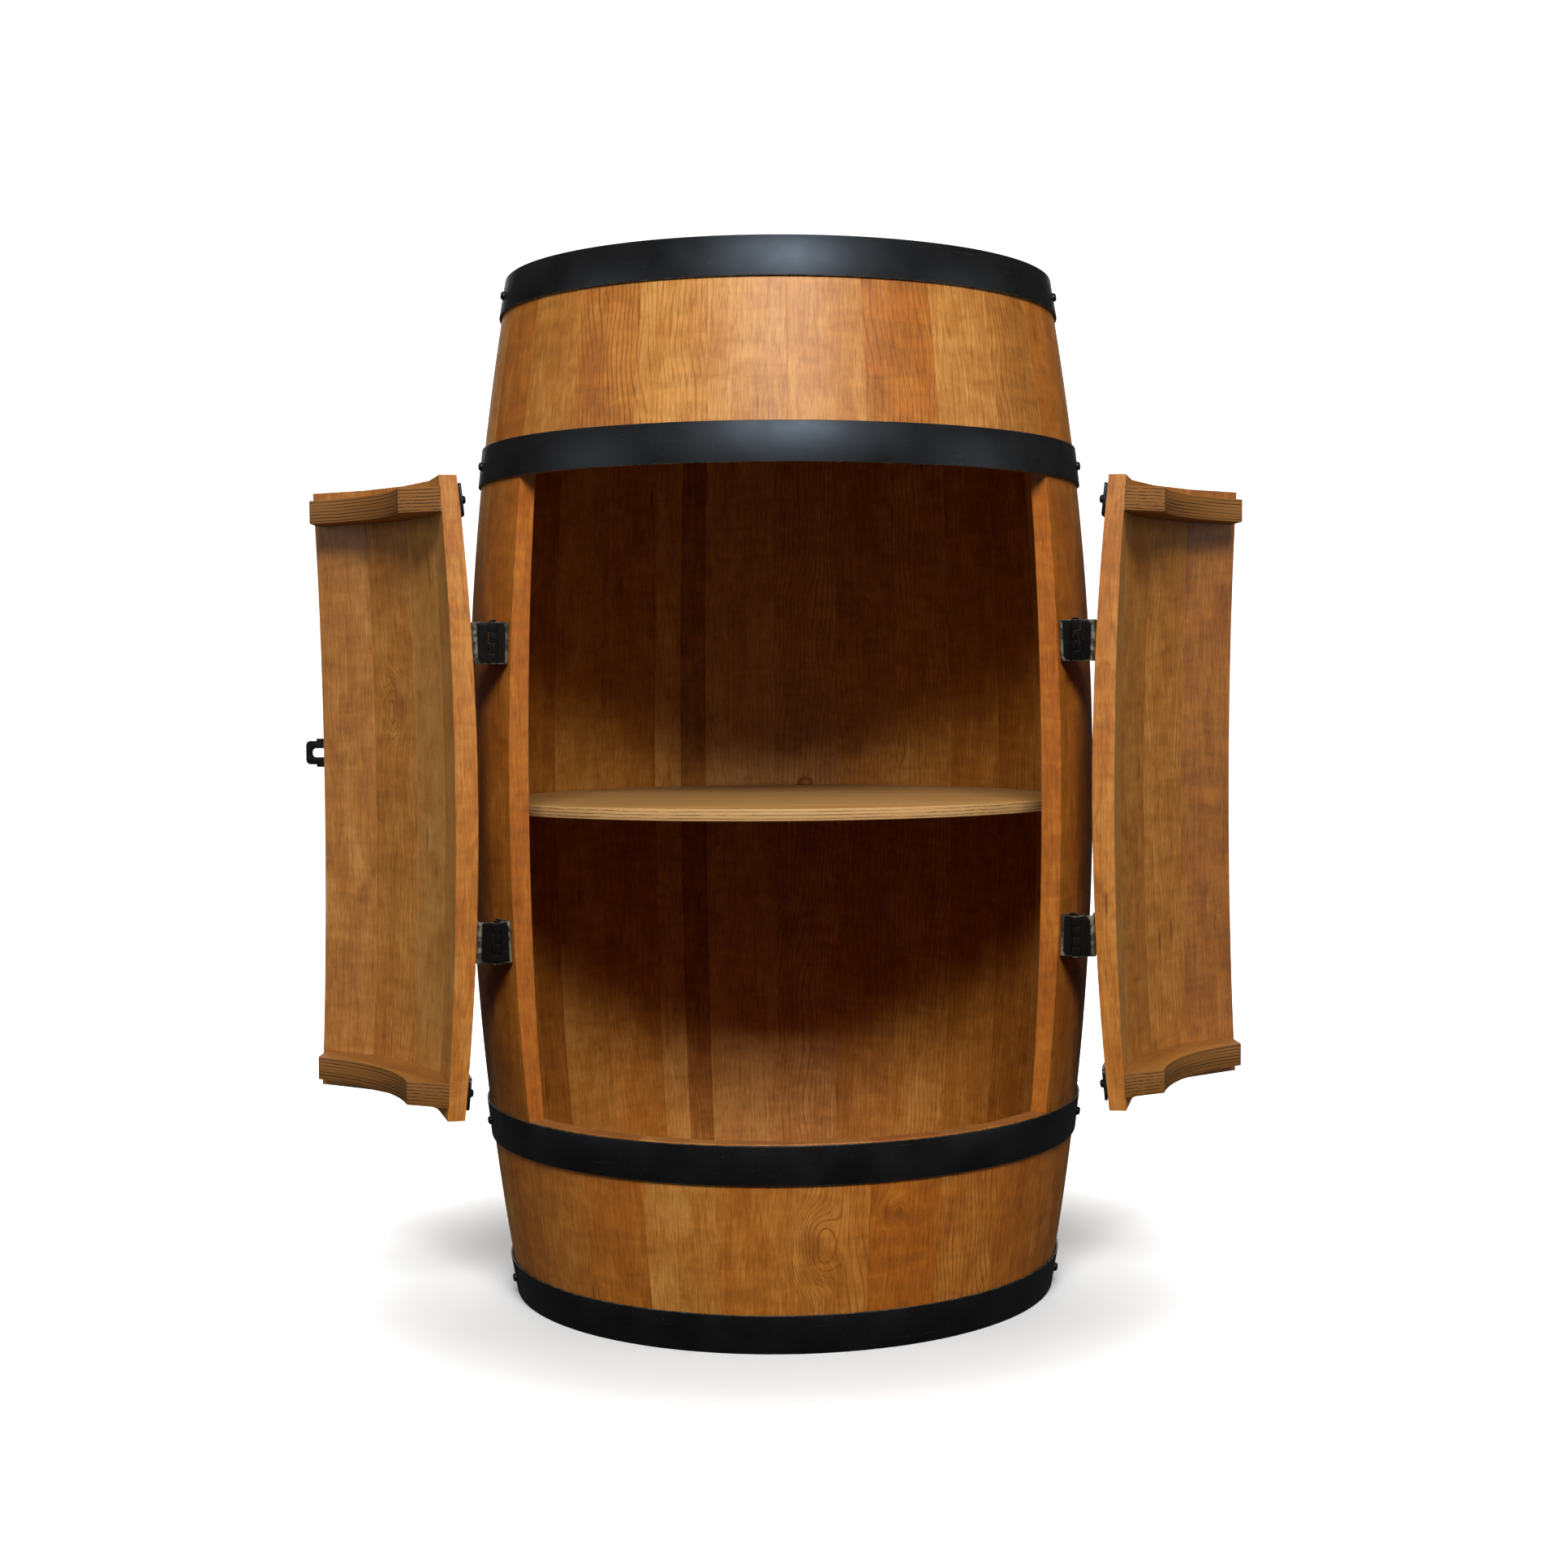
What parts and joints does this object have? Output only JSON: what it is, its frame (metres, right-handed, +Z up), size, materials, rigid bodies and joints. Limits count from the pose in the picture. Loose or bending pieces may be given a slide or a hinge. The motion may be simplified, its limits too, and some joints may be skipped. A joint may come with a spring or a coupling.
{
  "type": "barrel bar cabinet",
  "caption": "Stave barrel standing on end with hoops, a pair of curved front doors hung on raised hinges, a hasp and an inside shelf.",
  "frame": {"origin": "on the floor, under the middle of the open cabinet's outline: the barrel's own axis stands 7.7 mm along +X from it, because the hasp reaches out beyond the left door", "axes": "+Z up along the barrel, the doors' side faces -Y, +X to the viewer's right"},
  "size_m": [0.765, 0.4897, 0.8],
  "materials": {
    "stained_staves": "satin honey-brown stain on planed wood",
    "head_boards": "satin honey-brown stain on planed boards",
    "shelf_ply": "thin matt stain on plywood",
    "cleat_wood": "thin matt stain on sawn wood",
    "batten_ply": "matt brown stain on plywood with its plies showing",
    "hoop_steel": "satin black",
    "band_steel": "satin black",
    "hinge_steel": "satin black, worn to grey at the bends",
    "hasp_steel": "satin black"
  },
  "bodies": {
    "barrel": {"stave_01": "stained_staves", "stave_02": "stained_staves", "stave_03": "stained_staves", "stave_04": "stained_staves", "stave_05": "stained_staves", "stave_06": "stained_staves", "stave_07": "stained_staves", "stave_08": "stained_staves", "stave_09": "stained_staves", "stave_10": "stained_staves", "stave_11": "stained_staves", "stave_12": "stained_staves", "stave_13": "stained_staves", "stave_14": "stained_staves", "stave_15": "stained_staves", "stave_16": "stained_staves", "stave_17": "stained_staves", "stave_18": "stained_staves", "front_top_panel": "stained_staves", "front_bottom_panel": "stained_staves", "top_head": "head_boards", "bottom_head": "head_boards", "top_hoop": "hoop_steel", "upper_bilge_hoop": "hoop_steel", "lower_bilge_hoop": "hoop_steel", "bottom_hoop": "hoop_steel", "shelf": "shelf_ply", "shelf_cleat_1": "cleat_wood", "shelf_cleat_2": "cleat_wood", "shelf_cleat_3": "cleat_wood", "shelf_cleat_4": "cleat_wood", "barrel_left_upper_hinge_leaf": "hinge_steel", "barrel_left_lower_hinge_leaf": "hinge_steel", "barrel_right_upper_hinge_leaf": "hinge_steel", "barrel_right_lower_hinge_leaf": "hinge_steel", "left_upper_hinge_pin": "hinge_steel", "left_lower_hinge_pin": "hinge_steel", "right_upper_hinge_pin": "hinge_steel", "right_lower_hinge_pin": "hinge_steel"},
    "left_door": {"left_door_panel": "stained_staves", "left_door_upper_batten": "batten_ply", "left_door_lower_batten": "batten_ply", "left_door_upper_band": "band_steel", "left_door_lower_band": "band_steel", "left_door_upper_hinge_leaf": "hinge_steel", "left_door_lower_hinge_leaf": "hinge_steel", "hasp_plate": "hasp_steel", "hasp_pin": "hasp_steel"},
    "hasp": {"hasp_flap": "hasp_steel"},
    "right_door": {"right_door_panel": "stained_staves", "right_door_upper_batten": "batten_ply", "right_door_lower_batten": "batten_ply", "right_door_upper_band": "band_steel", "right_door_lower_band": "band_steel", "right_door_upper_hinge_leaf": "hinge_steel", "right_door_lower_hinge_leaf": "hinge_steel", "staple": "hasp_steel"}
  },
  "joints": [
    {"name": "left_door_swing", "type": "hinge", "parent": "barrel", "child": "left_door", "pos_m": [-0.20809, -0.14895, 0.4], "axis": [0, 0, 1], "range_deg": [-4, 206.4]},
    {"name": "right_door_swing", "type": "hinge", "parent": "barrel", "child": "right_door", "pos_m": [0.22349, -0.14895, 0.4], "axis": [0, 0, -1], "range_deg": [-4, 206.4]},
    {"name": "hasp_swing", "type": "hinge", "parent": "left_door", "child": "hasp", "pos_m": [-0.3273, 0.02424, 0.4287], "axis": [0, 0, -1], "range_deg": [0, 180]}
  ]
}
